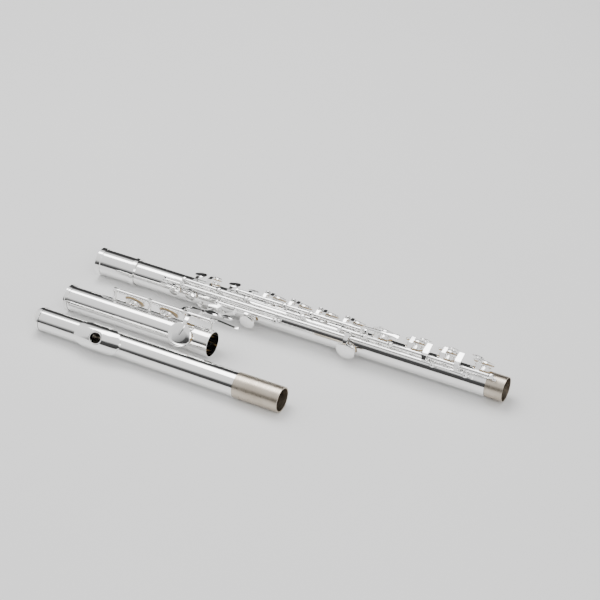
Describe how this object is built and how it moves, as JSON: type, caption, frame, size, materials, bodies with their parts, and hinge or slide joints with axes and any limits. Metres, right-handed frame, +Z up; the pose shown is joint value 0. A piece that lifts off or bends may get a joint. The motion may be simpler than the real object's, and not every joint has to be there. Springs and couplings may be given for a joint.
{
  "type": "alto flute",
  "caption": "Alto flute taken apart into head joint, body joint and foot joint, lying side by side, with padded keys that hinge on rods along the tube to open and close its tone holes.",
  "frame": {"origin": "middle of the bounding box on the surface the three joints lie on", "axes": "+X along the tubes from the crown and barrel end towards the foot end, +Y from the head joint towards the body joint, +Z up"},
  "size_m": [0.487, 0.1556, 0.0449],
  "materials": {
    "silver_plate": "polished silver",
    "nickel_silver": "bare nickel silver, lightly tarnished",
    "steel_rod": "bright steel",
    "pad_skin": "yellow pad skin",
    "cork": "cork"
  },
  "bodies": {
    "body_joint": {"barrel": "silver_plate", "body_tube": "silver_plate", "foot_tenon": "nickel_silver", "upper_rib": "silver_plate", "main_rib": "silver_plate", "c_rod": "steel_rod", "main_rod": "steel_rod", "thumb_rod": "steel_rod"},
    "head_joint": {"head_tube": "silver_plate", "lip_plate": "silver_plate", "embouchure_riser": "silver_plate", "crown": "silver_plate", "cork_stopper": "cork", "stopper_screw": "nickel_silver", "stopper_washer": "nickel_silver", "head_tenon": "nickel_silver"},
    "foot_joint": {"foot_tube": "silver_plate", "foot_ring": "silver_plate", "foot_socket": "silver_plate", "foot_rib": "silver_plate"},
    "trill_dsharp_key": {"trill_dsharp_key": "silver_plate", "trill_dsharp_pad": "pad_skin"},
    "trill_d_key": {"trill_d_key": "silver_plate", "trill_d_pad": "pad_skin"},
    "c_key": {"c_key": "silver_plate", "c_pad": "pad_skin"},
    "a_touch": {"a_touch": "silver_plate"},
    "bflat_key": {"bflat_key": "silver_plate", "bflat_pad": "pad_skin"},
    "a_key": {"a_key": "silver_plate", "a_pad": "pad_skin"},
    "g_key": {"g_key": "silver_plate", "g_pad_1": "pad_skin", "g_pad_2": "pad_skin"},
    "gsharp_key": {"gsharp_key": "silver_plate", "gsharp_pad": "pad_skin"},
    "fsharp_key": {"fsharp_key": "silver_plate", "fsharp_pad": "pad_skin"},
    "f_key": {"f_key": "silver_plate", "f_pad": "pad_skin"},
    "e_key": {"e_key": "silver_plate", "e_pad": "pad_skin"},
    "d_key": {"d_key": "silver_plate", "d_pad": "pad_skin"},
    "thumb_bflat_key": {"thumb_bflat_key": "silver_plate"},
    "thumb_key": {"thumb_key": "silver_plate", "thumb_pad": "pad_skin"},
    "foot_c_key": {"foot_c_key": "silver_plate", "foot_c_pad": "pad_skin"},
    "foot_csharp_key": {"foot_csharp_key": "silver_plate", "foot_csharp_pad": "pad_skin"},
    "foot_eb_key": {"foot_eb_key": "silver_plate", "foot_eb_pad": "pad_skin"}
  },
  "joints": [
    {"name": "head_joint_lift", "type": "slide", "parent": "body_joint", "child": "head_joint", "axis": [0, 0, 1], "range_m": [0, 0.1]},
    {"name": "foot_joint_lift", "type": "slide", "parent": "body_joint", "child": "foot_joint", "axis": [0, 0, 1], "range_m": [0, 0.1]},
    {"name": "trill_dsharp_key_hinge", "type": "hinge", "parent": "body_joint", "child": "trill_dsharp_key", "pos_m": [-0.135, 0.04219, 0.0284], "axis": [1, 0, 0], "range_deg": [-9, 0], "stiffness_Nm_per_rad": 0.02, "springref_deg": 11.46},
    {"name": "trill_d_key_hinge", "type": "hinge", "parent": "body_joint", "child": "trill_d_key", "pos_m": [0.022, 0.04219, 0.0284], "axis": [1, 0, 0], "range_deg": [-9, 0], "stiffness_Nm_per_rad": 0.02, "springref_deg": 11.46},
    {"name": "c_key_hinge", "type": "hinge", "parent": "body_joint", "child": "c_key", "pos_m": [-0.10275, 0.04666, 0.03267], "axis": [1, 0, 0], "range_deg": [-7, 0], "stiffness_Nm_per_rad": 0.02, "springref_deg": 11.46},
    {"name": "a_touch_hinge", "type": "hinge", "parent": "body_joint", "child": "a_touch", "pos_m": [-0.065, 0.04666, 0.03267], "axis": [1, 0, 0], "range_deg": [-7, 0], "stiffness_Nm_per_rad": 0.02, "springref_deg": 11.46},
    {"name": "bflat_key_hinge", "type": "hinge", "parent": "body_joint", "child": "bflat_key", "pos_m": [-0.0254, 0.0526, 0.03534], "axis": [1, 0, 0], "range_deg": [-7, 0], "stiffness_Nm_per_rad": 0.02, "springref_deg": 11.46},
    {"name": "a_key_hinge", "type": "hinge", "parent": "body_joint", "child": "a_key", "pos_m": [0.01, 0.0526, 0.03534], "axis": [1, 0, 0], "range_deg": [-7, 0], "stiffness_Nm_per_rad": 0.02, "springref_deg": 11.46},
    {"name": "g_key_hinge", "type": "hinge", "parent": "body_joint", "child": "g_key", "pos_m": [-0.0516, 0.0526, 0.03534], "axis": [1, 0, 0], "range_deg": [-7, 0], "stiffness_Nm_per_rad": 0.02, "springref_deg": 11.46},
    {"name": "gsharp_key_hinge", "type": "hinge", "parent": "body_joint", "child": "gsharp_key", "pos_m": [0.076, 0.04666, 0.03267], "axis": [1, 0, 0], "range_deg": [-9, 0], "stiffness_Nm_per_rad": 0.02, "springref_deg": 11.46},
    {"name": "fsharp_key_hinge", "type": "hinge", "parent": "body_joint", "child": "fsharp_key", "pos_m": [0.105, 0.04666, 0.03267], "axis": [1, 0, 0], "range_deg": [-7, 0], "stiffness_Nm_per_rad": 0.02, "springref_deg": 11.46},
    {"name": "f_key_hinge", "type": "hinge", "parent": "body_joint", "child": "f_key", "pos_m": [0.138, 0.04666, 0.03267], "axis": [1, 0, 0], "range_deg": [-7, 0], "stiffness_Nm_per_rad": 0.02, "springref_deg": 11.46},
    {"name": "e_key_hinge", "type": "hinge", "parent": "body_joint", "child": "e_key", "pos_m": [0.175, 0.04666, 0.03267], "axis": [1, 0, 0], "range_deg": [-7, 0], "stiffness_Nm_per_rad": 0.02, "springref_deg": 11.46},
    {"name": "d_key_hinge", "type": "hinge", "parent": "body_joint", "child": "d_key", "pos_m": [0.2115, 0.04666, 0.03267], "axis": [1, 0, 0], "range_deg": [-7, 0], "stiffness_Nm_per_rad": 0.02, "springref_deg": 11.46},
    {"name": "thumb_bflat_key_hinge", "type": "hinge", "parent": "body_joint", "child": "thumb_bflat_key", "pos_m": [-0.0673, 0.03789, 0.02365], "axis": [1, 0, 0], "range_deg": [0, 7], "stiffness_Nm_per_rad": 0.02, "springref_deg": -11.46},
    {"name": "thumb_key_hinge", "type": "hinge", "parent": "body_joint", "child": "thumb_key", "pos_m": [-0.0347, 0.03789, 0.02365], "axis": [1, 0, 0], "range_deg": [0, 7], "stiffness_Nm_per_rad": 0.02, "springref_deg": -11.46},
    {"name": "foot_c_key_hinge", "type": "hinge", "parent": "foot_joint", "child": "foot_c_key", "pos_m": [-0.154, -0.009, 0.03837], "axis": [1, 0, 0], "range_deg": [-7, 0], "stiffness_Nm_per_rad": 0.02, "springref_deg": 11.46},
    {"name": "foot_csharp_key_hinge", "type": "hinge", "parent": "foot_joint", "child": "foot_csharp_key", "pos_m": [-0.111, -0.009, 0.03837], "axis": [1, 0, 0], "range_deg": [-7, 0], "stiffness_Nm_per_rad": 0.02, "springref_deg": 11.46},
    {"name": "foot_eb_key_hinge", "type": "hinge", "parent": "foot_joint", "child": "foot_eb_key", "pos_m": [-0.0762, -0.009, 0.03837], "axis": [1, 0, 0], "range_deg": [-6, 0], "stiffness_Nm_per_rad": 0.02, "springref_deg": 11.46}
  ],
  "couplings": [
    {"joint": "a_key_hinge", "follows": "a_touch_hinge", "ratio": 1},
    {"joint": "bflat_key_hinge", "follows": "a_touch_hinge", "ratio": 1},
    {"joint": "fsharp_key_hinge", "follows": "f_key_hinge", "ratio": 1}
  ]
}
